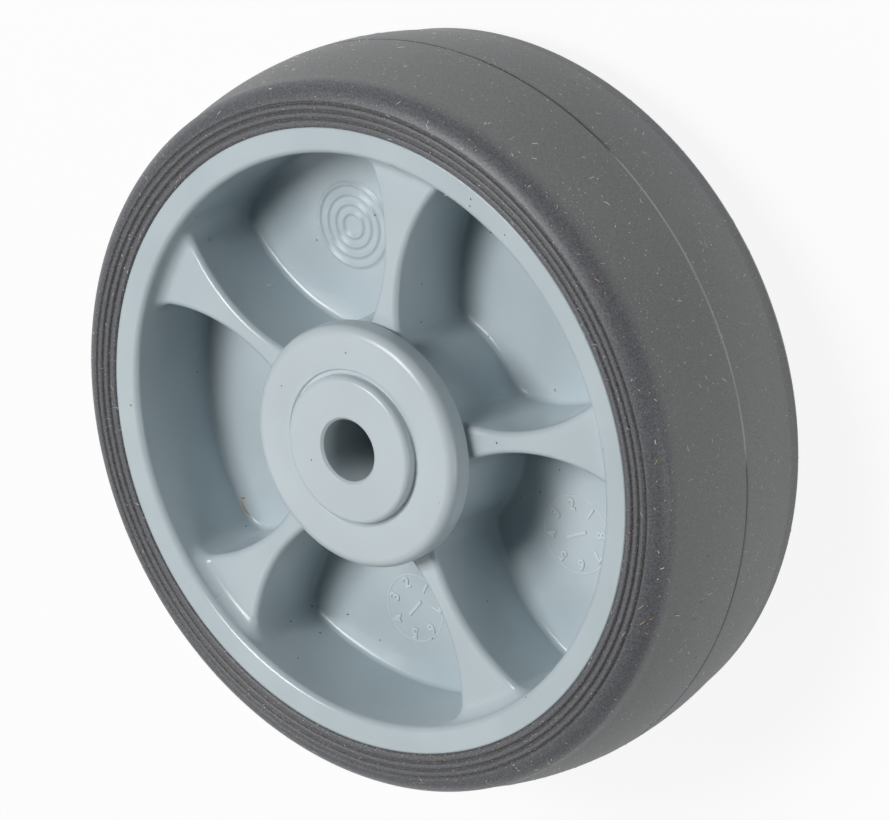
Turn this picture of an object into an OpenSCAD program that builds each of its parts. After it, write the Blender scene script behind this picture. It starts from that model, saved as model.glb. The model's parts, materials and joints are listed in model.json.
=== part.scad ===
// Trolley wheel: rubber tread on a ribbed plastic centre that turns on two ball bearings.
// The axle lies along Z and the origin is the middle of the axle bore, so the wheel lies on its side.

/* [Tread] */
// Diameter over the crown of the tread
wheel_d = 100; // [90:1:112]
// Thickness of the rubber from the rim to the crown
tread_t = 7.75; // [7:0.05:9]
// Width of the tread over its sidewalls
tread_w = 31.4; // [29:0.2:36]
// Radius of the crowned tread across its width
tread_crown_r = 42; // [36:1:90]
// Radius of the rounded shoulder between tread and sidewall
shoulder_r = 3.6; // [2.5:0.1:4.2]
// Number of fine grooves round each sidewall
groove_n = 3; // [1:1:3]
// Spacing of the sidewall grooves
groove_pitch = 1.05; // [0.9:0.05:1.1]
// Width of one sidewall groove
groove_w = 0.5; // [0.3:0.05:0.6]
// Depth of one sidewall groove
groove_depth = 0.3; // [0.2:0.05:0.5]
// Height of the parting line that stands on the middle of the tread
seam_h = 0.06; // [0.04:0.01:0.2]
// Depth to which the tread is keyed into the rim
key_depth = 1.2; // [0.6:0.1:1.5]
// Width of the key between tread and rim
key_w = 9; // [5:0.5:12]

/* [Rim and web] */
// Width of the rim over its two faces
rim_w = 31; // [28:0.2:33]
// Width of the flat ring that shows on the rim's face
rim_face = 3.5; // [2.8:0.1:4.2]
// Rounding of the rim's inner edge
rim_edge_r = 0.9; // [0.4:0.1:1.2]
// Thickness of the web in the middle of the wheel
web_t = 2.6; // [2:0.1:4]
// Fillet between the pocket walls and the web
floor_fillet_r = 0.6; // [0.3:0.1:0.9]
// Draft of the pocket walls, in degrees
draft = 1.5; // [0.5:0.25:2.5]

/* [Ribs] */
// Number of ribs on each side of the web
rib_n = 5; // [4:1:6]
// Thickness of a rib at its waist, measured at its top
rib_waist = 2.9; // [2:0.1:4]
// Distance from the axle to the waist of a rib
rib_waist_at = 23; // [21:0.5:26]
// Radius of the hollow sides of a rib
rib_side_r = 26; // [22:0.5:34]
// How far a rib's top lies below the rim's face at its outer end
rib_drop_rim = 2.6; // [1.5:0.1:4]
// Rounding of a rib's top edges
rib_edge_r = 0.8; // [0.3:0.1:1.1]
// Fillet where a rib's top meets the rim
rib_rim_fillet = 1.6; // [0.8:0.1:2]

/* [Hub and bearings] */
// Outer diameter of the hub barrel at its ends
barrel_d = 29.8; // [28.6:0.1:31]
// Bore of the ball bearings, which is also the outer diameter of the bush
bearing_bore = 12; // [11.6:0.1:12.4]
// Outer diameter of the ball bearings
bearing_d = 24; // [23.5:0.1:24.6]
// Width of one ball bearing
bearing_w = 6; // [5.6:0.1:6.6]
// Diameter of the bearing balls
ball_d = 3.4; // [3:0.1:3.6]
// Number of balls in each bearing
ball_n = 9; // [7:1:10]
// Thickness of a bearing shield
shield_t = 0.3; // [0.2:0.05:0.4]
// Wall of the tube between the inner rings
spacer_wall = 1.2; // [0.8:0.1:1.5]
// Outer diameter of the tube that stops the bearings from sliding inwards
seat_stop_d = 20.6; // [19.6:0.1:21.6]

/* [Hub caps] */
// Diameter of the axle bore
axle_bore_d = 8.4; // [6.2:0.1:8.8]
// Length of the hub over its two bosses
hub_len = 38.8; // [37:0.2:42]
// Diameter of the cap's disc
cap_d = 32.9; // [31.6:0.1:35]
// Thickness of the cap's disc at its edge
cap_t = 3.4; // [2.4:0.1:4.2]
// Rounding of the disc's outer edge
cap_edge_r = 1.5; // [0.8:0.1:2]
// Diameter of the raised boss
boss_d = 20; // [17:0.1:22]
// Height of the boss above the disc
boss_h = 1.3; // [0.8:0.1:2]
// Rounding of the boss's edge
boss_edge_r = 0.8; // [0.4:0.1:1]
// Width of the fine groove at the foot of the boss
boss_groove_w = 0.5; // [0.3:0.05:0.8]
// Depth of the fine groove at the foot of the boss
boss_groove_depth = 0.25; // [0.15:0.05:0.4]
// Chamfer at the mouth of the axle bore
bore_chamfer = 0.35; // [0.2:0.05:0.6]

/* [Clearances] */
// Gap between the caps, which stand still, and the turning wheel centre
cap_gap = 0.35; // [0.25:0.05:0.6]
// Radial clearance between balls and raceways, and of balls in their cage
ball_play = 0.03; // [0.02:0.01:0.05]
// Gap between the two caps' bushes in the middle of the hub
bush_gap = 0.2; // [0.1:0.1:1]

/* [Hidden] */
$fn = 96;
SIDES = ["front", "rear"];
BALLS = [for (s = SIDES) for (i = [1:ball_n]) str(s, "_ball_", i)];

// Radii and heights of the tread and the rim, and the small chamfers where the two meet at the face
wheel_r = wheel_d / 2;
rim_r = wheel_r - tread_t;
rim_z = rim_w / 2;
tread_z = tread_w / 2;
rim_in_r = rim_r - rim_face;
floor_z = web_t / 2;
rim_foot_r = rim_in_r - (rim_z - floor_z) * tan(draft);
key_r = rim_r - key_depth;
joint_edge = 0.25;
groove_margin = 1.2;
groove_land = 0.1;

// Heights of the hub, from its outer end inwards
cap_face_z = hub_len / 2 - boss_h;
cap_seat_z = cap_face_z - cap_t;
barrel_z = cap_seat_z - cap_gap;
bearing_sink = 0.4;
bearing_out_z = barrel_z - bearing_sink;
bearing_in_z = bearing_out_z - bearing_w;
bearing_mid_z = bearing_out_z - bearing_w / 2;
barrel_r = barrel_d / 2;
barrel_foot_r = barrel_r + (barrel_z - floor_z) * tan(draft);

// Sections of the bearings, with shallow raceways in both rings
pitch_r = (bearing_bore + bearing_d) / 4;
ball_r = ball_d / 2;
race_r = ball_r + ball_play;
race_depth = 0.65;
inner_ring_r = pitch_r - ball_r + race_depth;
outer_ring_r = pitch_r + ball_r - race_depth;
shield_recess = 0.15;
shield_step = 0.4;
shield_lip_gap = 0.2;
cage_wall = 1.4;
cage_rim = 0.45;
ring_edge = 0.3;

// Sections of the bushes: their fit in the inner rings, and how far the caps' shoulders stay inside them
bush_fit = 0.05;
cap_shoulder_inset = 0.5;
bush_r = bearing_bore / 2 - bush_fit;
axle_r = axle_bore_d / 2;
boss_r = boss_d / 2;
cap_r = cap_d / 2;
cap_shoulder_r = inner_ring_r - cap_shoulder_inset;

// Heights and slope of the ribs' tops, which start just below the barrel's end
rib_hub_sink = 0.1;
rib_rim_z = rim_z - rib_drop_rim;
rib_hub_z = barrel_z - rib_hub_sink;
rib_slope = atan((rib_hub_z - rib_rim_z) / (rim_in_r - barrel_r));
rib_waist_z = rib_rim_z + (rim_in_r - rib_waist_at) * tan(rib_slope);
rib_axis_y = rib_side_r + rib_waist / 2;
rib_foot_sink = 0.06;

// Colours
RUBBER = [0.31, 0.32, 0.32];
PLASTIC = [0.72, 0.77, 0.8];
STEEL = [0.75, 0.76, 0.78];
BRASS = [0.78, 0.66, 0.4];

// Points on an arc about c from angle a0 to a1
function arc(c, r, a0, a1, n = 3) =
    [for (i = [0:n]) let (a = a0 + (a1 - a0) * i / n) c + r * [cos(a), sin(a)]];

// The same outline mirrored to the other side of the wheel's middle plane
function flip(points) = [for (i = [len(points) - 1:-1:0]) [points[i][0], -points[i][1]]];

// Radius of the crowned tread at a height z
function crown_r(z) = wheel_r - tread_crown_r + sqrt(tread_crown_r * tread_crown_r - z * z);

// Half of the tread's outline, from its middle to the rim, with crown, shoulder, grooves and key
crown_steps = 10;
shoulder_steps = 8;
shoulder_z = tread_z - shoulder_r;
shoulder_a = asin(shoulder_z / tread_crown_r);
shoulder_c = [crown_r(shoulder_z) - shoulder_r * cos(shoulder_a), tread_z - shoulder_r];
groove_first_r = rim_r + groove_margin;
groove_end_r = groove_first_r + (groove_n - 1) * groove_pitch + groove_w / 2 + groove_land;
groove_end_a = acos(max(groove_end_r - shoulder_c[0], 0) / shoulder_r);
tread_half = concat(
    [[wheel_r + seam_h, 0], [wheel_r, seam_h * 2]],
    [for (i = [1:crown_steps - 1]) let (z = shoulder_z * i / crown_steps) [crown_r(z), z]],
    arc(shoulder_c, shoulder_r, shoulder_a, groove_end_a, shoulder_steps),
    [for (k = [groove_n - 1:-1:0]) for (p = groove(groove_first_r + k * groove_pitch)) p],
    [[rim_r + joint_edge, tread_z], [rim_r, tread_z - joint_edge], [rim_r, key_w / 2], [key_r, key_w / 2]]);

// Height of the sidewall at a radius r, flat near the rim and round in the shoulder
function sidewall_z(r) = shoulder_z + sqrt(pow(shoulder_r, 2) - pow(max(r - shoulder_c[0], 0), 2));

// One groove in the sidewall, from its outer lip to its inner one
function groove(r) = [
    for (p = [[1 / 2, 0], [1 / 6, 1], [-1 / 6, 1], [-1 / 2, 0]])
        [r + groove_w * p[0], sidewall_z(r + groove_w * p[0]) - groove_depth * p[1]]];

module tread() {
    color(RUBBER) rotate_extrude() polygon(concat(tread_half, flip(tread_half)));
}

// Outline of the rim, web and barrel in one half of the wheel's thickness
rim_edge_c = [rim_in_r + rim_edge_r, rim_z - rim_edge_r];
centre_half = concat(
    [[key_r, 0], [key_r, key_w / 2], [rim_r, key_w / 2]],
    [[rim_r, rim_z - joint_edge], [rim_r - joint_edge, rim_z]],
    arc(rim_edge_c, rim_edge_r, 90, 180),
    arc([rim_foot_r - floor_fillet_r, floor_z + floor_fillet_r], floor_fillet_r, 0, -90),
    arc([barrel_foot_r + floor_fillet_r, floor_z + floor_fillet_r], floor_fillet_r, 270, 180),
    [[barrel_r, barrel_z], [bearing_d / 2, barrel_z], [bearing_d / 2, bearing_in_z],
     [seat_stop_d / 2, bearing_in_z], [seat_stop_d / 2, 0]]);

// Outline that every rib is cut from: from barrel to rim, with its sloping top and the fillet to the rim
rib_in_r = (bearing_d / 2 + barrel_r) / 2;
rib_out_r = (rim_in_r + key_r) / 2;
rib_fillet_c = [rim_in_r - rib_rim_fillet, rib_rim_z + rib_rim_fillet];
rib_outline = concat(
    [[rib_in_r, 0], [rib_in_r, rib_hub_z], [barrel_r, rib_hub_z]],
    arc(rib_fillet_c, rib_rim_fillet, 270 - rib_slope, 360),
    [[rib_out_r, rib_rim_z + rib_rim_fillet], [rib_out_r, 0]]);

// Wall and foot of the hollow beside a rib, about the hollow's own axis
side_foot_r = rib_side_r - (rib_waist_z - floor_z) * tan(draft);
side_top_r = rib_side_r + (rim_z - rib_waist_z) * tan(draft);
side_outline = concat(
    [[0, floor_z - rib_foot_sink]],
    arc([side_foot_r - floor_fillet_r, floor_z - rib_foot_sink + floor_fillet_r], floor_fillet_r, -90, 0),
    [[side_top_r, rim_z], [0, rim_z]]);

// Rounding of a rib's top edge, which leans with the rib's top: a straight lead-in and then an arc
edge_start_a = 150;
edge_c = [rib_side_r + rib_edge_r, -rib_edge_r];
edge_lead = [-sin(edge_start_a), cos(edge_start_a)];
edge_start = edge_c + rib_edge_r * ([cos(edge_start_a), sin(edge_start_a)] + edge_lead);
edge_outline = concat(
    [[0, edge_start[1]], edge_start],
    arc(edge_c, rib_edge_r, edge_start_a, 90),
    [[edge_c[0], rib_edge_r * 3], [0, rib_edge_r * 3]]);

module rib() {
    difference() {
        intersection() {
            rotate_extrude() polygon(rib_outline);
            translate([rib_in_r, -rib_axis_y / 2, 0]) cube([rib_out_r, rib_axis_y, rim_z]);
        }
        for (side = [-1, 1]) {
            translate([rib_waist_at, side * rib_axis_y, 0]) rotate_extrude() polygon(side_outline);
            translate([rib_waist_at, side * rib_axis_y, rib_waist_z])
                rotate([0, rib_slope, 0]) rotate_extrude() polygon(edge_outline);
        }
    }
}

module wheel_centre() {
    color(PLASTIC) union() {
        rotate_extrude() polygon(concat(centre_half, flip(centre_half)));
        for (k = [0:rib_n - 1]) rotate([0, 0, k * 360 / rib_n]) {
            rib();
            mirror([0, 0, 1]) rib();
        }
    }
}

// Outline of a hub cap: bush, boss with its groove, disc, and the shoulder that meets the inner ring
cap_outline = concat(
    [[bush_r, bush_gap / 2], [axle_r, bush_gap / 2], [axle_r, hub_len / 2 - bore_chamfer],
     [axle_r + bore_chamfer, hub_len / 2]],
    arc([boss_r - boss_edge_r, hub_len / 2 - boss_edge_r], boss_edge_r, 90, 0),
    [[boss_r, cap_face_z - boss_groove_depth], [boss_r + boss_groove_w, cap_face_z - boss_groove_depth],
     [boss_r + boss_groove_w * 1.3, cap_face_z]],
    arc([cap_r - cap_edge_r, cap_face_z - cap_edge_r], cap_edge_r, 90, 0),
    [[cap_r, cap_seat_z], [cap_shoulder_r, cap_seat_z]],
    [[cap_shoulder_r, bearing_out_z], [bush_r, bearing_out_z]]);

module hub_cap() {
    color(PLASTIC) rotate_extrude() polygon(cap_outline);
}

module spacer_tube() {
    color(STEEL) difference() {
        cylinder(r = bearing_bore / 2 + spacer_wall, h = bearing_in_z * 2, center = true);
        cylinder(r = bearing_bore / 2, h = bearing_in_z * 3, center = true);
    }
}

// One bearing lies in its own frame, with its middle at the origin
module raceway() {
    rotate_extrude() translate([pitch_r, 0]) circle(r = race_r);
}

module outer_ring() {
    h = bearing_w / 2;
    step_r = outer_ring_r + shield_step;
    step_z = h - shield_recess - shield_t;
    half = [[outer_ring_r, step_z], [step_r, step_z], [step_r, h],
        [bearing_d / 2 - ring_edge, h], [bearing_d / 2, h - ring_edge]];
    color(STEEL) difference() {
        rotate_extrude() polygon(concat(half, flip(half)));
        raceway();
    }
}

module inner_ring() {
    h = bearing_w / 2;
    half = [[inner_ring_r, h], [bearing_bore / 2 + ring_edge, h], [bearing_bore / 2, h - ring_edge]];
    color(STEEL) difference() {
        rotate_extrude() polygon(concat(half, flip(half)));
        raceway();
    }
}

module ball(i) {
    color(STEEL) rotate([0, 0, i * 360 / ball_n]) translate([pitch_r, 0, 0]) sphere(r = ball_r);
}

module cage() {
    color(BRASS) difference() {
        cylinder(r = pitch_r + cage_wall / 2, h = ball_d + 2 * cage_rim, center = true);
        cylinder(r = pitch_r - cage_wall / 2, h = ball_d * 2, center = true);
        for (i = [1:ball_n]) rotate([0, 0, i * 360 / ball_n]) translate([inner_ring_r - cage_wall, 0, 0])
            rotate([0, 90, 0]) cylinder(r = race_r, h = ball_d * 2);
    }
}

module shield() {
    z = bearing_w / 2 - shield_recess - shield_t;
    color(STEEL) translate([0, 0, z]) difference() {
        cylinder(r = outer_ring_r + shield_step, h = shield_t);
        translate([0, 0, -shield_t]) cylinder(r = inner_ring_r + shield_lip_gap, h = shield_t * 3);
    }
}

// Places what it holds at the front or, mirrored, at the rear
module at_side(side) {
    if (side == "front") children();
    else mirror([0, 0, 1]) children();
}

module at_bearing(side) {
    at_side(side) translate([0, 0, bearing_mid_z]) children();
}

tread();
wheel_centre();
spacer_tube();
for (s = SIDES) {
    at_side(s) hub_cap();
    at_bearing(s) outer_ring();
    at_bearing(s) inner_ring();
    at_bearing(s) cage();
    at_bearing(s) shield();
    at_bearing(s) mirror([0, 0, 1]) shield();
    for (i = [1:ball_n])
        at_bearing(s) ball(i);
}
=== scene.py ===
"""Dresses the rubber trolley wheel: moulded tread, ribbed centre, flanged hub caps, bearings and dust.

The wheel lies on its rear boss with its axle along Z. All lengths in the classes are millimetres, and
MM turns them into Blender's metres when a mesh is made.
"""

from __future__ import annotations

import json
import logging
import math
from dataclasses import dataclass, field
from enum import Enum

import bmesh
import bpy
import numpy as np
from mathutils import Matrix, Vector

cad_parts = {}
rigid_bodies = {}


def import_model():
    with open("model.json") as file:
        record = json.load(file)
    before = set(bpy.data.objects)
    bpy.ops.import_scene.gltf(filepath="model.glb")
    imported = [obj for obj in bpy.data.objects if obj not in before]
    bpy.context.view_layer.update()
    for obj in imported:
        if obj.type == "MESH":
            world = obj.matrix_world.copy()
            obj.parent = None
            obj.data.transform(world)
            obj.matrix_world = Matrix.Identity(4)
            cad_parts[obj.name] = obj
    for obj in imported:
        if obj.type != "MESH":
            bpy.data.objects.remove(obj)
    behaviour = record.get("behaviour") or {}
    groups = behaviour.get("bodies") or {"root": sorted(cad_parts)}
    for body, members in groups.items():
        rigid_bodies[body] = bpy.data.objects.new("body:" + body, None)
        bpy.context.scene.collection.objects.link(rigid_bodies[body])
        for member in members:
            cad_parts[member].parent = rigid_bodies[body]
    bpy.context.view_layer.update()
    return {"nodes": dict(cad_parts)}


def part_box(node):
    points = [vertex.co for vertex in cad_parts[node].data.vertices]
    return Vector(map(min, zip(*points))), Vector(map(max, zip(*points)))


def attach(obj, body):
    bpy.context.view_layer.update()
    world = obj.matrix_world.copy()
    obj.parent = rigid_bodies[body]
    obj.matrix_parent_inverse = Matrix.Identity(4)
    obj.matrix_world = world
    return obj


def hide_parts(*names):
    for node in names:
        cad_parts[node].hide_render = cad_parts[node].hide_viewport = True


MM = 0.001
LOG = logging.getLogger("trolley_wheel")


class Face(Enum):
    """The two faces of the wheel, with the sign of Z on that side."""

    FRONT = 1
    REAR = -1


class Dust(Enum):
    """Colours of the dust on the wheel, as linear colour."""

    PALE = (0.86, 0.84, 0.78)
    STRAW = (0.68, 0.45, 0.22)
    RUST = (0.50, 0.18, 0.08)
    DARK = (0.03, 0.02, 0.025)


# Mesh helpers


def grid_faces(rows: int, cols: int, wrap_rows: bool = False, wrap_cols: bool = True) -> np.ndarray:
    """Quads between neighbours of a grid whose points are numbered row by row.

    Args:
        rows: number of rows of points.
        cols: number of points in a row.
        wrap_rows: whether the last row joins the first.
        wrap_cols: whether the end of a row joins its start.

    Returns:
        An array of quads, four point numbers each.
    """
    i = np.arange(rows if wrap_rows else rows - 1)[:, None]
    j = np.arange(cols if wrap_cols else cols - 1)[None, :]
    i1, j1 = (i + 1) % rows, (j + 1) % cols
    quads = [i * cols + j, i * cols + j1, i1 * cols + j1, i1 * cols + j]
    return np.stack([np.broadcast_to(q, (i.shape[0], j.shape[1])) for q in quads], -1).reshape(-1, 4)


def merged(points: np.ndarray, faces: np.ndarray) -> tuple[np.ndarray, list[list[int]]]:
    """Joins points that lie on the same place and drops the faces and corners that this closes up.

    Args:
        points: an array of points in millimetres.
        faces: an array of quads.

    Returns:
        The remaining points, and the faces as lists of three or four point numbers.
    """
    keys = np.round(points / 2e-4).astype(np.int64)
    _, first, inverse = np.unique(keys, axis=0, return_index=True, return_inverse=True)
    welded = inverse.reshape(-1)[faces]
    same = welded == np.roll(welded, -1, axis=1)
    full = welded[~same.any(1)].tolist()
    thin = [list(dict.fromkeys(f)) for f in welded[same.any(1)].tolist()]
    return points[first], full + [f for f in thin if len(f) >= 3]


def signed_volume(points: np.ndarray, faces: list[list[int]]) -> float:
    """Volume inside the faces: a sixth of the sum of corner products, negative where they face inwards.

    Args:
        points: an array of points.
        faces: faces as lists of point numbers.

    Returns:
        The volume, in the points' unit cubed.
    """
    fans = np.array([[f[0], f[k], f[k + 1]] for f in faces for k in range(1, len(f) - 1)])
    a, b, c = points[fans[:, 0]], points[fans[:, 1]], points[fans[:, 2]]
    return float(np.einsum("ij,ij->i", a, np.cross(b, c)).sum() / 6)


def make_piece(name: str, points: np.ndarray, faces: np.ndarray,
               crease_deg: float = 40.0) -> bpy.types.Object:
    """Makes a mesh object at the origin from points in millimetres, smooth, with its faces outwards.

    Args:
        name: name of the piece.
        points: an array of points in millimetres.
        faces: an array of quads.
        crease_deg: edges that bend more than this stay sharp.

    Returns:
        The new object, linked to the scene.
    """
    welded, polygons = merged(points.reshape(-1, 3), faces)
    if signed_volume(welded, polygons) < 0:
        polygons = [f[::-1] for f in polygons]
    mesh = bpy.data.meshes.new(name)
    mesh.from_pydata((welded * MM).tolist(), [], polygons)
    mesh.validate()
    mesh.shade_smooth()
    mesh.set_sharp_from_angle(angle=math.radians(crease_deg))
    piece = bpy.data.objects.new(name, mesh)
    bpy.context.scene.collection.objects.link(piece)
    return piece


def places_mm(mesh: bpy.types.Mesh) -> np.ndarray:
    """Places of a mesh's points in millimetres.

    Args:
        mesh: the mesh.

    Returns:
        Rows of x, y and z.
    """
    flat = np.empty(3 * len(mesh.vertices), np.float32)
    mesh.vertices.foreach_get("co", flat)
    return flat.reshape(-1, 3).astype(float).T / MM


def write_zone(mesh: bpy.types.Mesh, name: str, values: np.ndarray) -> None:
    """Writes one value for each of the mesh's points, for a finish to read.

    Args:
        mesh: the mesh.
        name: name of the attribute.
        values: the values, in the order of the mesh's points.
    """
    attribute = mesh.attributes.new(name, "FLOAT", "POINT")
    attribute.data.foreach_set("value", values.astype(np.float32))


def lathe(outline: np.ndarray, steps: int) -> tuple[np.ndarray, np.ndarray]:
    """Turns a closed outline of (radius, height) about Z: each point runs round a circle of its radius.

    Args:
        outline: an array of (radius, height), closed without repeating its first point.
        steps: number of steps round the circle.

    Returns:
        The points of the ring and its quads.
    """
    turn = np.linspace(0, 2 * math.pi, steps, endpoint=False)
    r, z = outline[:, 0][:, None], outline[:, 1][:, None]
    points = np.stack([r * np.cos(turn), r * np.sin(turn), z + 0 * turn], -1)
    return points, grid_faces(len(outline), steps, wrap_rows=True)


def rounded(corners: list[tuple[float, float, float]], steps: int = 8) -> np.ndarray:
    """A closed outline whose corners are rounded by arcs that touch both sides.

    Args:
        corners: (radius, height, rounding) of each corner; a rounding of 0 keeps it sharp.
        steps: number of steps on each arc.

    Returns:
        An array of (radius, height).
    """
    out: list[np.ndarray] = []
    n = len(corners)
    for k, (x, y, r) in enumerate(corners):
        here = np.array([x, y])
        if r == 0:
            out.append(here[None])
            continue
        before = np.array(corners[k - 1][:2]) - here
        after = np.array(corners[(k + 1) % n][:2]) - here
        before, after = before / np.linalg.norm(before), after / np.linalg.norm(after)
        half = math.acos(float(np.clip(before @ after, -1, 1))) / 2
        middle = (before + after) / np.linalg.norm(before + after)
        centre = here + middle * r / math.sin(half)
        start = here + before * r / math.tan(half) - centre
        end = here + after * r / math.tan(half) - centre
        t = np.linspace(0, 1, steps + 1)[:, None]
        bend = math.pi - 2 * half
        arc = (np.sin((1 - t) * bend) * start + np.sin(t * bend) * end) / math.sin(bend)
        out.append(centre + arc)
    return np.concatenate(out)


# Finishes


class Shading:
    """A small hand for building one material out of nodes that read Object coordinates."""

    def __init__(self, name: str) -> None:
        """Makes the material with a plain Principled shader.

        Args:
            name: name of the material.
        """
        self.material = bpy.data.materials.new(name)
        self.material.use_nodes = True
        self.tree = self.material.node_tree
        self.shader = self.tree.nodes["Principled BSDF"]
        self.coords = self.tree.nodes.new("ShaderNodeTexCoord").outputs["Object"]

    def set(self, **values: object) -> None:
        """Sets sockets of the shader by name, with spaces written as underscores."""
        for key, value in values.items():
            self.shader.inputs[key.replace("_", " ")].default_value = value

    def link(self, source: bpy.types.NodeSocket, target: bpy.types.NodeSocket) -> None:
        """Joins two sockets."""
        self.tree.links.new(source, target)

    def noise(self, size_mm: float, detail: float = 2.0, rough: float = 0.5) -> bpy.types.NodeSocket:
        """Value of a noise in Object coordinates.

        Args:
            size_mm: about how large its lumps are.
            detail: number of finer layers.
            rough: weight of the finer layers.

        Returns:
            The socket of the value.
        """
        node = self.tree.nodes.new("ShaderNodeTexNoise")
        node.inputs["Scale"].default_value = 1 / (size_mm * MM)
        node.inputs["Detail"].default_value = detail
        node.inputs["Roughness"].default_value = rough
        self.link(self.coords, node.inputs["Vector"])
        return node.outputs["Fac"]

    def spots(self, size_mm: float) -> bpy.types.NodeSocket:
        """Distance to the nearest of many scattered points.

        Args:
            size_mm: size of the cell that holds one point.

        Returns:
            The socket of the distance, as a share of a cell.
        """
        node = self.tree.nodes.new("ShaderNodeTexVoronoi")
        node.inputs["Scale"].default_value = 1 / (size_mm * MM)
        self.link(self.coords, node.inputs["Vector"])
        return node.outputs["Distance"]

    def zone(self, name: str) -> bpy.types.NodeSocket:
        """Value of one of the mesh's own attributes, such as a zone of wear.

        Args:
            name: name of the attribute.

        Returns:
            The socket of the value, 0 where the mesh has no such attribute.
        """
        node = self.tree.nodes.new("ShaderNodeAttribute")
        node.attribute_name = name
        return node.outputs["Fac"]

    def product(self, first: bpy.types.NodeSocket, second: bpy.types.NodeSocket) -> bpy.types.NodeSocket:
        """Multiplies two values.

        Args:
            first: socket of a value.
            second: socket of a value.

        Returns:
            The socket of their product.
        """
        node = self.tree.nodes.new("ShaderNodeMath")
        node.operation = "MULTIPLY"
        self.link(first, node.inputs[0])
        self.link(second, node.inputs[1])
        return node.outputs[0]

    def span(self, value: bpy.types.NodeSocket, low: float, high: float, to_low: float = 0.0,
             to_high: float = 1.0) -> bpy.types.NodeSocket:
        """Maps one range of a value to another, held at both ends.

        Args:
            value: socket of the value.
            low: start of its range.
            high: end of its range.
            to_low: what low becomes.
            to_high: what high becomes.

        Returns:
            The socket of the result.
        """
        node = self.tree.nodes.new("ShaderNodeMapRange")
        node.inputs["From Min"].default_value = low
        node.inputs["From Max"].default_value = high
        node.inputs["To Min"].default_value = to_low
        node.inputs["To Max"].default_value = to_high
        self.link(value, node.inputs["Value"])
        return node.outputs["Result"]

    def mix(self, factor: bpy.types.NodeSocket, first: object, second: object) -> bpy.types.NodeSocket:
        """Mixes two colours, each a tuple or a socket.

        Args:
            factor: socket of the share of the second.
            first: the colour at 0.
            second: the colour at 1.

        Returns:
            The socket of the mixed colour.
        """
        node = self.tree.nodes.new("ShaderNodeMix")
        node.data_type = "RGBA"
        self.link(factor, node.inputs[0])
        for socket, value in ((node.inputs[6], first), (node.inputs[7], second)):
            if isinstance(value, bpy.types.NodeSocket):
                self.link(value, socket)
            else:
                socket.default_value = (*value, 1.0)
        return node.outputs[2]

    def colour(self, socket: bpy.types.NodeSocket) -> None:
        """Gives the shader its base colour."""
        self.link(socket, self.shader.inputs["Base Color"])

    def bump(self, layers: list[tuple[bpy.types.NodeSocket, float, float]]) -> None:
        """Chains bump nodes and links them to the shader.

        Args:
            layers: height value, height in millimetres and strength of each.
        """
        normal = None
        for height, depth_mm, strength in layers:
            node = self.tree.nodes.new("ShaderNodeBump")
            node.inputs["Distance"].default_value = depth_mm * MM
            node.inputs["Strength"].default_value = strength
            self.link(height, node.inputs["Height"])
            if normal is not None:
                self.link(normal, node.inputs["Normal"])
            normal = node.outputs["Normal"]
        self.link(normal, self.shader.inputs["Normal"])


@dataclass(frozen=True)
class RubberFinish:
    """Satin grey rubber: a greenish worn crown, shoulders in a darker violet that is painted reflection,
    groove valleys in browner painted shade, grain and dust.
    """

    cool: tuple[float, float, float] = (0.152, 0.165, 0.166)
    warm: tuple[float, float, float] = (0.172, 0.180, 0.174)
    # Darker violet tone of the shoulders: painted reflection of dark surroundings.
    shoulder: tuple[float, float, float] = (0.086, 0.087, 0.098)
    # Browner dark tone at the bottoms of the sidewall grooves: painted shade.
    valley: tuple[float, float, float] = (0.050, 0.040, 0.034)
    # Light line on one stretch of the parting line: dust, with a painted highlight where the ridge catches
    # light.
    seam_light: tuple[float, float, float] = (0.36, 0.36, 0.37)
    # Dark line along the parting line away from its lit stretch: painted shadow.
    seam_dark: tuple[float, float, float] = (0.035, 0.036, 0.036)
    speck: tuple[float, float, float] = (0.42, 0.40, 0.36)
    grain_mm: float = 0.28
    speck_cell_mm: float = 1.5
    speck_share: float = 0.045
    crown_roughness: float = 0.60
    shoulder_roughness: float = 0.46

    def build(self) -> bpy.types.Material:
        """Makes the material, which reads the zones that the tread writes.

        Returns:
            The material.
        """
        s = Shading("tread_rubber")
        s.set(Specular_IOR_Level=0.5, Sheen_Weight=0.10, Sheen_Roughness=0.45)
        s.set(Sheen_Tint=(0.92, 0.92, 1.0, 1.0))
        clouds = s.span(s.noise(38.0, 3.0), 0.40, 0.62)
        tone = s.mix(clouds, self.cool, self.warm)
        # Painted reflection: the shoulders darker and more violet; the same zone also makes them glossier.
        side = s.zone("shoulder")
        tone = s.mix(side, tone, self.shoulder)
        # Painted shade: darker and browner at the bottoms of the sidewall grooves.
        tone = s.mix(s.zone("valley"), tone, self.valley)
        fine = s.span(s.noise(self.grain_mm, 2.0), 0.35, 0.68, 0.0, 0.34)
        tone = s.mix(fine, tone, tuple(1.9 * c for c in self.cool))
        # Painted shadow: a dark line along the parting line.
        tone = s.mix(s.zone("seam_dark"), tone, self.seam_dark)
        # Dust and painted highlight: a light line on one stretch of the parting line.
        tone = s.mix(s.zone("seam_light"), tone, self.seam_light)
        rare = s.span(s.noise(9.0, 1.0), 0.48, 0.60, 0.25, 1.0)
        dots = s.span(s.spots(self.speck_cell_mm), self.speck_share, self.speck_share * 1.6, 1.0, 0.0)
        s.colour(s.mix(s.product(rare, dots), tone, self.speck))
        gloss = s.span(side, 0.0, 1.0, self.crown_roughness, self.shoulder_roughness)
        s.link(gloss, s.shader.inputs["Roughness"])
        s.bump([(s.noise(self.grain_mm, 2.0), 0.035, 0.55), (s.noise(6.0, 2.0), 0.05, 0.25)])
        return s.material


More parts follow.
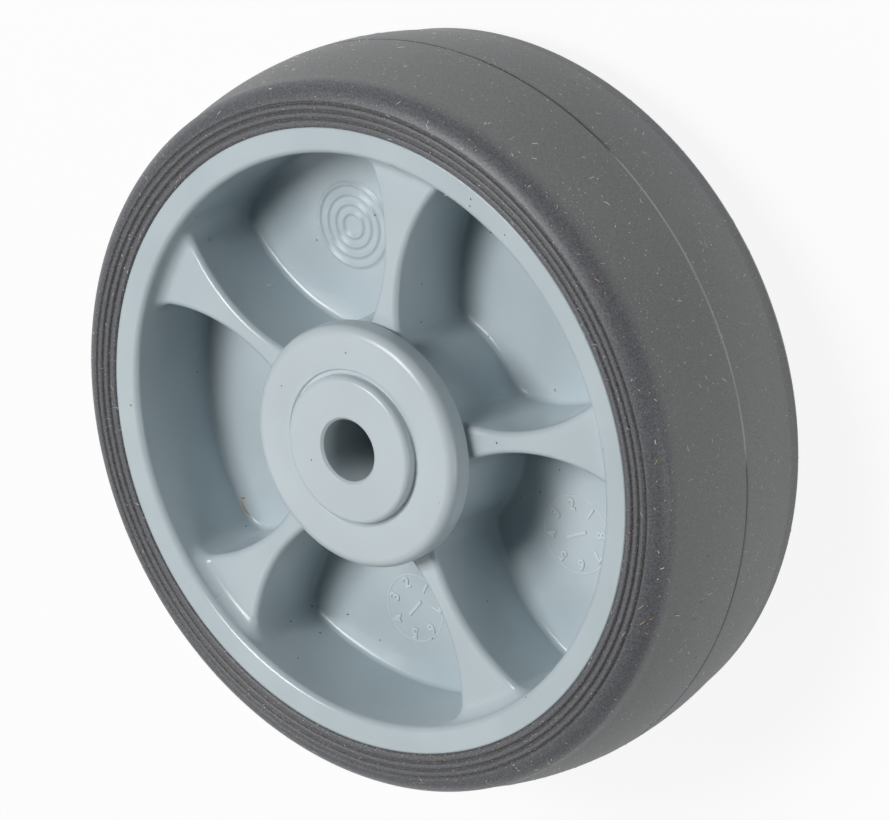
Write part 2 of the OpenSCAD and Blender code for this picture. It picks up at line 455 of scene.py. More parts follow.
@dataclass(frozen=True)
class PlasticFinish:
    """Grey-blue injection-moulded plastic: soft gloss, faint flow clouds and a few dark grains."""

    name: str
    tint: tuple[float, float, float]
    deep: tuple[float, float, float]
    roughness: float = 0.19
    glow: float = 0.10

    def build(self) -> bpy.types.Material:
        """Makes the material: flow clouds, grains, painted shade in the bore and a faint orange peel.

        Returns:
            The material.
        """
        s = Shading(self.name)
        s.set(Roughness=self.roughness, Specular_IOR_Level=0.42, Subsurface_Weight=self.glow)
        s.set(Subsurface_Radius=(0.8, 0.9, 1.0), Subsurface_Scale=1.2 * MM)
        clouds = s.span(s.noise(16.0, 3.0), 0.35, 0.68)
        tone = s.mix(clouds, self.deep, self.tint)
        grains = s.span(s.spots(4.5), 0.022, 0.034, 1.0, 0.0)
        tone = s.mix(grains, tone, (0.13, 0.13, 0.14))
        # Painted shade: the inside of the bore nearly black.
        s.colour(s.mix(s.zone("bore_painted_shade"), tone, (0.045, 0.052, 0.056)))
        s.bump([(s.noise(7.0, 2.0), 0.02, 0.16), (s.noise(0.5, 2.0), 0.004, 0.20)])
        return s.material


@dataclass(frozen=True)
class SteelFinish:
    """Bearing steel: ground, drawn or polished, with fine marks and a slight film of oil."""

    name: str
    tint: tuple[float, float, float]
    roughness: float
    mark_mm: float = 0.6

    def build(self) -> bpy.types.Material:
        """Makes the material: an oil film in the colour and fine marks in the gloss.

        Returns:
            The material.
        """
        s = Shading(self.name)
        s.set(Metallic=1.0)
        film = s.span(s.noise(4.0, 3.0), 0.4, 0.65)
        s.colour(s.mix(film, self.tint, tuple(0.88 * c for c in self.tint)))
        marks = s.noise(self.mark_mm, 3.0, 0.6)
        gloss = s.span(marks, 0.3, 0.7, self.roughness * 0.85, self.roughness * 1.2)
        s.link(gloss, s.shader.inputs["Roughness"])
        s.bump([(marks, 0.003, 0.3)])
        return s.material


@dataclass(frozen=True)
class DustFinish:
    """Dry dust, fibres and grains of one colour."""

    kind: Dust

    def build(self) -> bpy.types.Material:
        """Makes the material: one colour, a little uneven.

        Returns:
            The material.
        """
        s = Shading(f"dust_{self.kind.name.lower()}")
        s.set(Roughness=0.85)
        uneven = s.span(s.noise(1.5, 1.0), 0.35, 0.65)
        s.colour(s.mix(uneven, self.kind.value, tuple(0.7 * c for c in self.kind.value)))
        return s.material


# Sub-assemblies


@dataclass
class Tread:
    """The rubber ring: crowned tread, round shoulders, ribbed sidewalls, parting line and key."""

    wheel_r: float
    half_w: float
    rim_r: float
    crown_r: float = 42.0
    shoulder_r: float = 3.6
    seam_h: float = 0.06
    seam_reach: float = 0.06
    seam_groove: float = 0.07
    seam_groove_at: float = 0.14
    key_depth: float = 1.2
    key_w: float = 9.0
    groove_first: float = 1.2
    groove_pitch: float = 1.05
    groove_n: int = 3
    groove_depth: float = 0.30
    groove_reach: float = 0.20
    # Middle, edge and fade of the parting line's stretch with dust and a painted highlight; the ridge is
    # proudest there.
    seam_dusty_deg: float = 19.0
    seam_dusty_cos: float = 0.89
    seam_dusty_fade: float = 0.03
    seam_reaches: tuple[float, float] = (0.15, 0.09)
    shoulder_early: float = 0.1
    shoulder_fade: float = 0.5
    wall_step: float = 0.07
    steps: int = 512
    crown_points: int = 20

    def crown(self, z: np.ndarray) -> np.ndarray:
        """Radius of the tread at height z: a circle of crown_r whose top is at wheel_r."""
        return self.wheel_r - self.crown_r + np.sqrt(self.crown_r**2 - z**2)

    def sidewall(self, r: np.ndarray) -> np.ndarray:
        """Dip of the sidewall: a bell shape at every groove and at the joint with the rim.

        Args:
            r: radii.

        Returns:
            How far it dips at each radius.
        """
        centres = self.rim_r + self.groove_first + self.groove_pitch * np.arange(self.groove_n)
        dips = np.exp(-(((r[:, None] - centres) / self.groove_reach) ** 2)).sum(1)
        joint = np.exp(-(((r - self.rim_r) / (1.1 * self.groove_reach)) ** 2))
        return self.groove_depth * np.clip(dips + joint, 0, 1)

    def half_outline(self) -> np.ndarray:
        """Outline from the parting line to the key, in the upper half.

        Returns:
            An array of (radius, height).
        """
        shoulder_z = self.half_w - self.shoulder_r
        lean = math.asin(shoulder_z / self.crown_r)
        centre_r = float(self.crown(np.array(shoulder_z))) - self.shoulder_r * math.cos(lean)
        seam = np.array([0.0, 0.04, 0.07, 0.10, 0.14, 0.2])
        z = np.concatenate([seam, np.linspace(0.5, shoulder_z, self.crown_points)])
        top = np.stack([self.crown(z), z], -1)
        fine_r = self.rim_r + self.groove_first + self.groove_pitch * self.groove_n - 0.4
        turn = np.linspace(lean, math.acos((fine_r - centre_r) / self.shoulder_r), 12)[1:-1]
        shoulder = np.stack([centre_r + self.shoulder_r * np.cos(turn),
                             shoulder_z + self.shoulder_r * np.sin(turn)], -1)
        r = np.arange(fine_r, self.rim_r, -self.wall_step)
        round_z = shoulder_z + np.sqrt(self.shoulder_r**2 - np.maximum(r - centre_r, 0) ** 2)
        wall = np.stack([r, round_z - self.sidewall(r)], -1)
        inner = np.array([[self.rim_r, self.half_w - self.groove_depth], [self.rim_r, self.key_w / 2],
                          [self.rim_r - self.key_depth, self.key_w / 2]])
        return np.concatenate([top, shoulder, wall, inner])

    def dusty_stretch(self, turn: np.ndarray) -> np.ndarray:
        """Share of dust and painted highlight on the parting line: 1 near the middle of its stretch, fading
        to 0 on both sides.
        """
        near = np.cos(turn - math.radians(self.seam_dusty_deg))
        return np.clip((near - self.seam_dusty_cos) / self.seam_dusty_fade, 0, 1)

    def seam_height(self, turn: np.ndarray) -> np.ndarray:
        """Height of the parting line round the wheel: proud on one stretch, nearly flush on the rest."""
        proud = 0.5 + 0.5 * np.cos(turn - math.radians(self.seam_dusty_deg))
        return self.seam_h * (0.25 + 0.75 * proud**2) * (1 + 0.2 * np.sin(23 * turn))

    def skin(self, share: np.ndarray) -> np.ndarray:
        """Places on the exposed outline.

        Args:
            share: shares of the way from the parting line to the rim.

        Returns:
            Radius, height, and the radial and upright parts of the outward direction, one row each.
        """
        line = self.half_outline()[:-3]
        step = np.diff(line, axis=0)
        gone = np.concatenate([[0], np.cumsum(np.linalg.norm(step, axis=1))])
        k = np.clip(np.searchsorted(gone, share * gone[-1]) - 1, 0, len(step) - 1)
        part = (share * gone[-1] - gone[k]) / (gone[k + 1] - gone[k])
        place = line[k] + part[:, None] * step[k]
        along = step[k] / np.linalg.norm(step[k], axis=1)[:, None]
        return np.stack([place[:, 0], place[:, 1], along[:, 1], -along[:, 0]])

    def mark(self, mesh: bpy.types.Mesh) -> None:
        """Writes the zones that the rubber's finish reads: shoulders with painted reflection, groove valleys
        with painted shade, and the parting line with dust and a painted highlight on one stretch and a
        painted shadow on the rest.

        Args:
            mesh: the tread's mesh.
        """
        x, y, z = places_mm(mesh)
        r, turn = np.hypot(x, y), np.arctan2(y, x)
        start = self.half_w - self.shoulder_r
        # Shoulders: where the painted reflection and the glossier finish go.
        shoulder = np.clip((np.abs(z) - start + self.shoulder_early) / self.shoulder_fade, 0, 1)
        # Groove bottoms on the sidewalls, where the painted shade goes.
        valley = np.clip(self.sidewall(r) / self.groove_depth, 0, 1) ** 1.5 * (np.abs(z) > start + 1)
        # Stretch of the parting line with dust and a painted highlight; the rest gets a painted shadow.
        dust_and_highlight = self.dusty_stretch(turn)
        line = (np.abs(z) < np.where(dust_and_highlight > 0, *self.seam_reaches)) & (r > self.wheel_r - 1)
        zones = {"shoulder": shoulder, "valley": valley, "seam_light": line * dust_and_highlight,
                 "seam_dark": line * (1 - dust_and_highlight)}
        for name, values in zones.items():
            write_zone(mesh, name, values)

    def build(self) -> bpy.types.Object:
        """Makes the ring: the outline turned about Z, with the parting line's ridge and its fine groove.

        Returns:
            The tread.
        """
        half = self.half_outline()
        outline = np.concatenate([half, (half * [1, -1])[:0:-1]])
        points, faces = lathe(outline, self.steps)
        z = points[..., 2]
        turn = np.arctan2(points[..., 1], points[..., 0])
        near = (np.hypot(points[..., 0], points[..., 1]) > self.wheel_r - 1) & (np.abs(z) < 0.3)
        ridge = self.seam_height(turn) * np.exp(-((z / self.seam_reach) ** 2))
        groove = (1 - self.dusty_stretch(turn)) * self.seam_groove
        groove = groove * np.exp(-(((z + self.seam_groove_at) / self.seam_reach) ** 2))
        scale = 1 + np.where(near, ridge - groove, 0) / self.wheel_r
        points[..., 0] *= scale
        points[..., 1] *= scale
        piece = make_piece("moulded_tread", points, faces, 60)
        self.mark(piece.data)
        return piece


@dataclass
class WheelCentre:
    """The plastic moulding, as the skin of blended bodies: rim, web, hub barrel and waisted ribs."""

    rim_r: float
    rim_z: float
    rib_n: int = 5
    rim_face: float = 3.5
    rim_edge: float = 0.9
    floor_z: float = 1.3
    draft_deg: float = 1.5
    barrel_r: float = 14.9
    barrel_z: float = 14.35
    bore_r: float = 12.0
    seat_r: float = 10.3
    seat_z: float = 7.95
    key_depth: float = 1.2
    key_w: float = 9.0
    rib_waist: float = 2.9
    rib_waist_at: float = 23.0
    rib_side_r: float = 26.0
    rib_rim_z: float = 12.9
    rib_hub_z: float = 14.25
    rib_edge: float = 0.85
    rim_blend: float = 2.0
    barrel_blend: float = 1.4
    foot_blend: float = 0.75
    step: float = 0.06
    skin_near: float = 0.02
    skin_edge: float = 0.01
    rows: tuple[int, int, int, int, int] = (4, 10, 4, 28, 18)
    foot_top: float = 1.0
    wall_top: float = 12.0
    arc_rays: int = 44
    rib_rays: int = 26
    hub_rays: int = 36
    rib_crowding: float = 1.7
    middle: float = field(init=False)

    def __post_init__(self) -> None:
        """Places the point in the middle of a pocket that its rays start from."""
        self.middle = (self.barrel_r + self.rim_r - self.rim_face) / 2

    @staticmethod
    def shared(parts: list[np.ndarray], r: float) -> np.ndarray:
        """Distance outside what all bodies share, with a convex edge of radius r: an arc where they meet."""
        push = [np.maximum(r + p, 0) for p in parts]
        return np.minimum(-r, np.maximum.reduce(parts)) + np.sqrt(sum(p * p for p in push))

    @staticmethod
    def joined(parts: list[np.ndarray], r: float) -> np.ndarray:
        """Distance outside bodies joined with a hollow fillet of radius r: an arc where they meet."""
        push = [np.maximum(r - p, 0) for p in parts]
        return np.maximum(r, np.minimum.reduce(parts)) - np.sqrt(sum(p * p for p in push))

    def outside(self, x: np.ndarray, y: np.ndarray, z: np.ndarray) -> np.ndarray:
        """Distance outside the moulding near one pocket, whose middle lies along +X, on the upper side.

        The rim is what lies beyond the drafted rim wall and below its face. The barrel is what lies within
        the drafted barrel wall. A rib is what lies outside the round hollow beside it and below its sloping
        top. The web is what lies below the floor. They are joined with fillets.

        Args:
            x: places along X.
            y: places along Y.
            z: heights.

        Returns:
            The distances, negative inside.
        """
        lean = math.tan(math.radians(self.draft_deg))
        r = np.hypot(x, y)
        rim_in = self.rim_r - self.rim_face
        rim = self.shared([rim_in - (self.rim_z - z) * lean - r, z - self.rim_z], self.rim_edge)
        barrel = self.shared([r - self.barrel_r - (self.barrel_z - z) * lean, z - self.barrel_z], 0.3)
        slope = (self.rib_hub_z - self.rib_rim_z) / (rim_in - self.barrel_r)
        top = z - (self.rib_rim_z + (rim_in - r) * slope)
        half_pitch = math.pi / self.rib_n
        away = math.hypot(self.rib_waist_at, self.rib_side_r + self.rib_waist / 2)
        turn = half_pitch - math.atan2(self.rib_side_r + self.rib_waist / 2, self.rib_waist_at)
        ribs = []
        for sign in (-1, 1):
            hollow = self.rib_side_r + (z - self.rib_rim_z) * lean
            side = hollow - np.hypot(x - away * math.cos(turn), y - sign * away * math.sin(turn))
            ribs.append(self.shared([side, top], self.rib_edge))
        skin = self.joined([rim, *ribs], self.rim_blend)
        skin = self.joined([skin, barrel], self.barrel_blend)
        return self.joined([skin, z - self.floor_z], self.foot_blend)

    def rays(self) -> np.ndarray:
        """Directions of the rays round a pocket, one through each corner of its cell.

        Returns:
            Their angles, closest together at the rib ends.
        """
        half_pitch = math.pi / self.rib_n
        outer, inner = (math.atan2(r * math.sin(half_pitch), r * math.cos(half_pitch) - self.middle)
                        for r in (self.rim_r, self.bore_r))
        arc = outer * np.sin(np.linspace(-math.pi / 2, math.pi / 2, self.arc_rays, endpoint=False))
        share = np.linspace(0, 1, self.rib_rays + 1) ** self.rib_crowding
        rib = outer + (inner - outer) * share
        hub = np.linspace(inner, 2 * math.pi - inner, self.hub_rays, endpoint=False)
        return np.concatenate([arc, rib[:-1], hub, 2 * math.pi - rib[:0:-1]])

    def reach(self, turn: np.ndarray) -> np.ndarray:
        """How far each ray goes to the edge of its cell: the rim, the bore or a rib's middle plane.

        Args:
            turn: angles of the rays.

        Returns:
            The distances.
        """
        dx, dy = np.cos(turn), np.sin(turn)
        half_pitch = math.pi / self.rib_n
        best = -self.middle * dx + np.sqrt(self.rim_r**2 - (self.middle * dy) ** 2)
        under = self.bore_r**2 - (self.middle * dy) ** 2
        hits = (under > 0) & (dx < 0)
        best = np.where(hits, np.minimum(best, -self.middle * dx - np.sqrt(np.maximum(under, 0))), best)
        for sign in (-1, 1):
            nx, ny = -math.sin(half_pitch), sign * math.cos(half_pitch)
            rate = nx * dx + ny * dy
            far = np.where(rate > 1e-9, -self.middle * nx / np.where(rate > 1e-9, rate, 1), np.inf)
            best = np.minimum(best, far)
        return best

    def trace(self) -> np.ndarray:
        """Walks along the skin from the middle of the floor to the cell's edge, in all rays at once.

        Each step goes along the skin's tangent in the upright plane of its ray, then slides back onto the
        skin along its slope. The walk is then divided into rows.

        Returns:
            Points of rows by rays, in millimetres.
        """
        turn = self.rays()
        dx, dy, far = np.cos(turn), np.sin(turn), self.reach(turn)

        def value(p: np.ndarray) -> np.ndarray:
            """Distance outside the skin at (distance along the ray, height)."""
            return self.outside(self.middle + p[0] * dx, p[0] * dy, p[1])

        def slope(p: np.ndarray) -> np.ndarray:
            """Gradient of that distance in the ray's plane, by central differences.

            Args:
                p: distance along the ray and height.

            Returns:
                The gradient's two parts.
            """
            h = 1e-4
            along = value(p + [[h], [0]]) - value(p - [[h], [0]])
            up = value(p + [[0], [h]]) - value(p - [[0], [h]])
            return np.stack([along, up]) / (2 * h)

        place = np.stack([0 * turn, self.floor_z + 0 * turn])
        path = [place]
        limit = int(2.2 * (self.rim_r + self.rim_z) / self.step)
        for _ in range(limit):
            g = slope(place)
            g = g / np.maximum(np.linalg.norm(g, axis=0), 1e-9)
            ahead = place + self.step * np.stack([g[1], -g[0]])
            for _ in range(2):
                g = slope(ahead)
                ahead = ahead - value(ahead) * g / np.maximum((g * g).sum(0), 1e-9)
            place = np.where(path[-1][0] >= far, path[-1], ahead)
            path.append(place)
            if (place[0] >= far).all():
                break
        walk = np.array(path)
        return self.divided(walk, far, dx, dy)

    def divided(self, walk: np.ndarray, far: np.ndarray, dx: np.ndarray, dy: np.ndarray) -> np.ndarray:
        """Divides each walk into rows, evenly within each stretch: floor, foot, wall, top and the rim's edge.

        Args:
            walk: steps by (distance, height) by rays.
            far: distance to the cell's edge on each ray.
            dx: X part of each ray.
            dy: Y part of each ray.

        Returns:
            Points of rows by rays.
        """
        out = np.zeros((sum(self.rows) + 1, walk.shape[2], 3))
        levels = (self.floor_z + 0.004, self.floor_z + self.foot_top, self.wall_top,
                  self.rim_z - self.rim_edge - 0.05)
        for k in range(walk.shape[2]):
            last = int(np.argmax(walk[:, 0, k] >= far[k]))
            line = walk[:last + 1, :, k].copy()
            part = (far[k] - line[-2, 0]) / max(line[-1, 0] - line[-2, 0], 1e-9)
            line[-1] = line[-2] + part * (line[-1] - line[-2])
            gone = np.concatenate([[0], np.cumsum(np.linalg.norm(np.diff(line, axis=0), axis=1))])
            over = [line[:, 1] > level for level in levels]
            marks = [0.0, *(gone[int(np.argmax(o))] if o.any() else gone[-1] for o in over), gone[-1]]
            stretches = [np.linspace(a, b, n, endpoint=False) for a, b, n in zip(marks, marks[1:], self.rows)]
            at = np.concatenate([*stretches, [gone[-1]]])
            run = np.interp(at, gone, line[:, 0])
            height = np.interp(at, gone, line[:, 1])
            out[:, k] = np.stack([self.middle + run * dx[k], run * dy[k], height], -1)
        return out

    def smooth(self, mesh: bpy.types.Mesh) -> None:
        """Gives the mesh the skin's true normals: the gradient of the distance, where a point lies on it.

        Args:
            mesh: the moulding's mesh.
        """
        x, y, z = places_mm(mesh)
        pitch = 2 * math.pi / self.rib_n
        turn = np.floor(np.arctan2(y, x) / pitch) * pitch + pitch / 2
        cos, sin = np.cos(turn), np.sin(turn)
        local = np.stack([x * cos + y * sin, y * cos - x * sin, np.abs(z)])
        h = 1e-3
        ways = h * np.eye(3)[:, :, None]
        slope = [self.outside(*(local + way)) - self.outside(*(local - way)) for way in ways]
        gx, gy, gz = slope / np.maximum(np.linalg.norm(slope, axis=0), 1e-12)
        normals = np.stack([gx * cos - gy * sin, gx * sin + gy * cos, gz * np.sign(z)], -1)
        r = np.hypot(x, y)
        off_skin = np.abs(self.outside(*local)) > self.skin_near
        normals[off_skin | (r > self.rim_r - self.skin_edge) | (r < self.bore_r + self.skin_edge)] = 0
        mesh.normals_split_custom_set_from_vertices(normals.tolist())

    def edge_band(self, edge: np.ndarray, ring: list[tuple[float, float]]) -> tuple[np.ndarray, np.ndarray]:
        """A band that goes from a cell's upper edge over to its lower edge.

        Args:
            edge: the edge's points in order.
            ring: (radius, height) of the rows between, in the upper half, from the edge inwards.

        Returns:
            The band's points and quads.
        """
        turn = np.arctan2(edge[:, 1], edge[:, 0])
        rows = [np.stack([r * np.cos(turn), r * np.sin(turn), z + 0 * turn], -1) for r, z in ring]
        upper = [edge, *rows]
        flip = np.array([1, 1, -1])
        lower = [row * flip for row in upper[::-1]]
        points = np.concatenate([np.stack(upper), np.stack(lower)])
        return points.reshape(-1, 3), grid_faces(len(points), len(edge), wrap_cols=False)

    def build(self) -> bpy.types.Object:
        """Makes the moulding out of the traced pocket: both sides, all pockets, and the hidden bands.

        Returns:
            The moulding.
        """
        cell = self.trace()
        grid = cell.reshape(-1, 3)
        faces = grid_faces(cell.shape[0], cell.shape[1])
        last = cell[-1]
        outer = last[:self.arc_rays + 1]
        start = self.arc_rays + self.rib_rays
        inner = last[start:start + self.hub_rays + 1]
        key_r = self.rim_r - self.key_depth
        bands = [self.edge_band(outer, [(self.rim_r, self.key_w / 2), (key_r, self.key_w / 2)]),
                 self.edge_band(inner, [(self.bore_r, self.seat_z), (self.seat_r, self.seat_z)])]
        parts = [(grid, faces[:, ::-1]), (grid * [1, 1, -1], faces)]
        parts += [(band, band_faces[:, ::-1]) for band, band_faces in bands]
        points, quads, count = [], [], 0
        for k in range(self.rib_n):
            turn = (2 * k + 1) * math.pi / self.rib_n
            spin = np.array([[math.cos(turn), -math.sin(turn), 0], [math.sin(turn), math.cos(turn), 0],
                             [0, 0, 1]])
            for part, part_faces in parts:
                points.append(part @ spin.T)
                quads.append(part_faces + count)
                count += len(part)
        piece = make_piece("ribbed_centre", np.concatenate(points), np.concatenate(quads), 50)
        self.smooth(piece.data)
        return piece


@dataclass
class HubCap:
    """A flanged bush: disc with a round edge, raised boss with a fine groove at its foot, and the bore."""

    face: Face
    cap_r: float
    end_z: float
    cap_t: float = 3.4
    cap_edge: float = 1.5
    boss_r: float = 10.0
    boss_h: float = 1.3
    boss_edge: float = 0.75
    groove_w: float = 0.5
    groove_depth: float = 0.25
    bore_r: float = 4.2
    bore_chamfer: float = 0.35
    bush_r: float = 5.95
    bush_end: float = 0.1
    shoulder_r: float = 7.45
    shoulder_z: float = 13.95
    steps: int = 256

    def build(self) -> bpy.types.Object:
        """Makes the cap: its rounded outline turned about Z, mirrored at the rear.

        Returns:
            The cap.
        """
        face_z = self.end_z - self.boss_h
        seat_z = face_z - self.cap_t
        foot_z = face_z - self.groove_depth
        foot_r = self.boss_r + self.groove_w
        outline = rounded([
            (self.bush_r, self.bush_end, 0.1), (self.bore_r, self.bush_end, 0.1),
            (self.bore_r, self.end_z - self.bore_chamfer, 0.12),
            (self.bore_r + self.bore_chamfer, self.end_z, 0.15),
            (self.boss_r, self.end_z, self.boss_edge), (self.boss_r, foot_z, 0.12),
            (foot_r, foot_z, 0.12), (foot_r + 0.2, face_z, 0.12),
            (self.cap_r, face_z, self.cap_edge), (self.cap_r, seat_z, 0.2),
            (self.shoulder_r, seat_z, 0.1), (self.shoulder_r, self.shoulder_z, 0.1),
            (self.bush_r, self.shoulder_z, 0.1)])
        points, faces = lathe(outline * [1, self.face.value], self.steps)
        piece = make_piece(f"{self.face.name.lower()}_flanged_bush", points, faces, 40)
        x, y, z = places_mm(piece.data)
        # Inside of the bore, where the painted shade goes.
        painted_bore_shade = (np.hypot(x, y) < self.bore_r + 0.1) & (np.abs(z) < self.end_z - self.bore_chamfer - 0.1)
        write_zone(piece.data, "bore_painted_shade", painted_bore_shade)
        return piece


@dataclass
class RingInsert:
    """The round mould insert's print on the web: a shallow disc with fine raised rings."""

    centre: tuple[float, float]
    floor_z: float
    outer_r: float = 6.15
    rings: tuple[float, ...] = (5.6, 4.25, 2.95, 1.65)
    ring_reach: float = 0.27
    ring_h: float = 0.22
    steps: int = 128

    def build(self) -> bpy.types.Object:
        """Makes the disc: a height over the radius with a bell-shaped ridge at every ring.

        Returns:
            The disc.
        """
        r = np.arange(0.02, self.outer_r, 0.05)
        ridges = np.exp(-(((r[:, None] - np.array(self.rings)) / self.ring_reach) ** 2)).sum(1)
        z = self.floor_z + 0.03 + self.ring_h * ridges
        top = np.stack([r, z], -1)
        under = np.array([[self.outer_r, self.floor_z - 0.2], [0.02, self.floor_z - 0.2]])
        points, faces = lathe(np.concatenate([top, under]), self.steps)
        points[..., 0] += self.centre[0]
        points[..., 1] += self.centre[1]
        return make_piece("ring_insert_print", points, faces, 50)


@dataclass
class NumberDial:
    """A generic round dial in the moulding: a faint circle, a bar and plain numbers round it."""

    name: str
    centre: tuple[float, float]
    floor_z: float
    radius: float
    bar_deg: float
    count: int
    number_h: float = 2.1
    relief: float = 0.12
    circle_h: float = 0.05
    edge: float = 0.06

    def circle(self) -> tuple[np.ndarray, np.ndarray]:
        """The fine ring: a flat-topped ridge turned about the dial's middle.

        Returns:
            Its points and quads.
        """
        w, low, top = 0.22, self.floor_z - 0.1, self.floor_z + self.circle_h
        outline = np.array([[self.radius - w, low], [self.radius - w / 3, top],
                            [self.radius + w / 3, top], [self.radius + w, low]])
        points, faces = lathe(outline, 96)
        points[..., 0] += self.centre[0]
        points[..., 1] += self.centre[1]
        return points.reshape(-1, 3), faces

    def bar(self) -> tuple[np.ndarray, np.ndarray]:
        """The bar: a low block whose top is a little smaller than its foot.

        Returns:
            Its points and quads.
        """
        turn = math.radians(self.bar_deg)
        along = np.array([math.cos(turn), math.sin(turn)])
        across = np.array([-along[1], along[0]])
        points = []
        for grow, z in ((self.edge, self.floor_z - 0.1), (0.0, self.floor_z + self.relief)):
            length, half = 0.32 * self.radius + grow, 0.20 + grow
            shape = [(-length, -half), (length, -half), (length, half), (-length, half)]
            flat = np.array([np.array(self.centre) + a * along + b * across for a, b in shape])
            points.append(np.column_stack([flat, np.full(4, z)]))
        sides = [[k, (k + 1) % 4, 4 + (k + 1) % 4, 4 + k] for k in range(4)]
        return np.concatenate(points), np.array([[3, 2, 1, 0], [4, 5, 6, 7], *sides])

    def numbers(self) -> list[bpy.types.Mesh]:
        """The plain numbers, each placed and turned on its circle.

        Returns:
            Their meshes.
        """
        meshes = []
        for k in range(1, self.count + 1):
            curve = bpy.data.curves.new(f"{self.name}_{k}", "FONT")
            curve.body = str(k)
            curve.size = self.number_h * MM
            curve.extrude = ((self.relief + 0.1) / 2 - self.edge) * MM
            curve.offset = 0.02 * MM
            curve.bevel_depth = self.edge * MM
            curve.bevel_resolution = 2
            curve.align_x = "CENTER"
            curve.align_y = "CENTER"
            curve.resolution_u = 4
            text = bpy.data.objects.new(curve.name, curve)
            bpy.context.scene.collection.objects.link(text)
            bpy.context.view_layer.update()
            mesh = bpy.data.meshes.new_from_object(text.evaluated_get(bpy.context.evaluated_depsgraph_get()))
            bpy.data.objects.remove(text)
            turn = 2 * math.pi * k / self.count
            r = 0.76 * self.radius
            place = Vector((self.centre[0] + r * math.cos(turn), self.centre[1] + r * math.sin(turn),
                            self.floor_z + (self.relief - 0.1) / 2)) * MM
            mesh.transform(Matrix.Translation(place) @ Matrix.Rotation(turn - math.pi / 2, 4, "Z"))
            meshes.append(mesh)
        return meshes

    def build(self) -> bpy.types.Object:
        """Makes the dial as one mesh of ring, bar and numbers.

        Returns:
            The dial.
        """
        ring, ring_faces = self.circle()
        bar, bar_faces = self.bar()
        piece = make_piece(self.name, np.concatenate([ring, bar]),
                           np.concatenate([ring_faces, bar_faces + len(ring)]), 30)
        joined = bmesh.new()
        joined.from_mesh(piece.data)
        for mesh in self.numbers():
            joined.from_mesh(mesh)
            bpy.data.meshes.remove(mesh)
        joined.to_mesh(piece.data)
        joined.free()
        return piece


def spindles(middle: np.ndarray, axis: np.ndarray, out: np.ndarray, long: np.ndarray, bow: np.ndarray,
             half_width: float) -> tuple[np.ndarray, np.ndarray]:
    """Thin spindles of four rings whose middle rings bow a little sideways, one for each fibre or grain.

    Args:
        middle: middle of each, in millimetres.
        axis: direction in which each lies.
        out: direction out of the surface it lies on.
        long: length of each.
        bow: how far each one's middle is pushed sideways.
        half_width: half their thickness.

    Returns:
        All points and quads.
    """
    side = np.cross(out, axis)
    corner = np.linspace(0, 2 * math.pi, 4, endpoint=False)
    rings = []
    for share, width in zip((-0.5, -0.2, 0.2, 0.5), (0.15, 1.0, 1.0, 0.15)):
        spot = middle + axis * (share * long)[:, None] + side * (bow * (1 - 4 * share**2))[:, None]
        around = np.cos(corner)[None, :, None] * side[:, None] + np.sin(corner)[None, :, None] * out[:, None]
        rings.append(spot[:, None] + width * half_width * around)
    local = np.concatenate([grid_faces(4, 4), np.array([[3, 2, 1, 0], [12, 13, 14, 15]])])
    faces = (local[None] + 16 * np.arange(len(long))[:, None, None]).reshape(-1, 4)
    return np.stack(rings, 1).reshape(-1, 3), faces


@dataclass
class Scatter:
    """Dust on the tread: fibres or grains, laid flat on the rubber, partly in patches."""

    name: str
    kind: Dust
    count: int
    seed: int
    tread: Tread
    length: tuple[float, float]
    half_width: float = 0.035
    patches: int = 40
    patch_share: float = 0.45
    patch_spread: float = 0.07
    bend: float = 0.12
    proud: float = 0.05

    def places(self, rng: np.random.Generator) -> tuple[np.ndarray, np.ndarray, np.ndarray]:
        """Draws a place for every piece, some of them near a patch's middle.

        Args:
            rng: the random numbers to draw from.

        Returns:
            Turn about the axle, share of the outline and sign of the face, one each.
        """
        turn = rng.uniform(0, 2 * math.pi, self.count)
        share = rng.uniform(0, 1, self.count)
        sign = rng.choice([1.0, -1.0], self.count)
        middles = rng.uniform(0, 1, (self.patches, 2))
        near = rng.integers(0, self.patches, self.count)
        grouped = rng.uniform(0, 1, self.count) < self.patch_share
        patch_turn = 2 * math.pi * middles[near, 0] + rng.normal(0, self.patch_spread, self.count)
        turn = np.where(grouped, patch_turn, turn)
        share = np.where(grouped, middles[near, 1] + rng.normal(0, self.patch_spread, self.count), share)
        return turn, np.clip(share, 0.01, 0.99), sign

    def build(self) -> bpy.types.Object:
        """Makes all pieces as one mesh of spindles, each lying in the rubber's surface at a random angle.

        Returns:
            The dust.
        """
        rng = np.random.default_rng(self.seed)
        n = self.count
        turn, share, sign = self.places(rng)
        r, z, out_r, out_z = self.tread.skin(share)
        lie = rng.uniform(0, math.pi, n)
        long = self.length[0] + (self.length[1] - self.length[0]) * rng.uniform(0, 1, n) ** 3
        cos, sin = np.cos(turn), np.sin(turn)
        out = np.stack([out_r * cos, out_r * sin, sign * out_z], -1)
        across = np.stack([-sin, cos, 0 * turn], -1)
        axis = np.cos(lie)[:, None] * across + np.sin(lie)[:, None] * np.cross(out, across)
        middle = np.stack([r * cos, r * sin, sign * z], -1) + (self.proud - self.half_width) * out
        bow = rng.normal(0, self.bend, n) * long
        points, faces = spindles(middle, axis, out, long, bow, self.half_width)
        return make_piece(self.name, points, faces, 80)


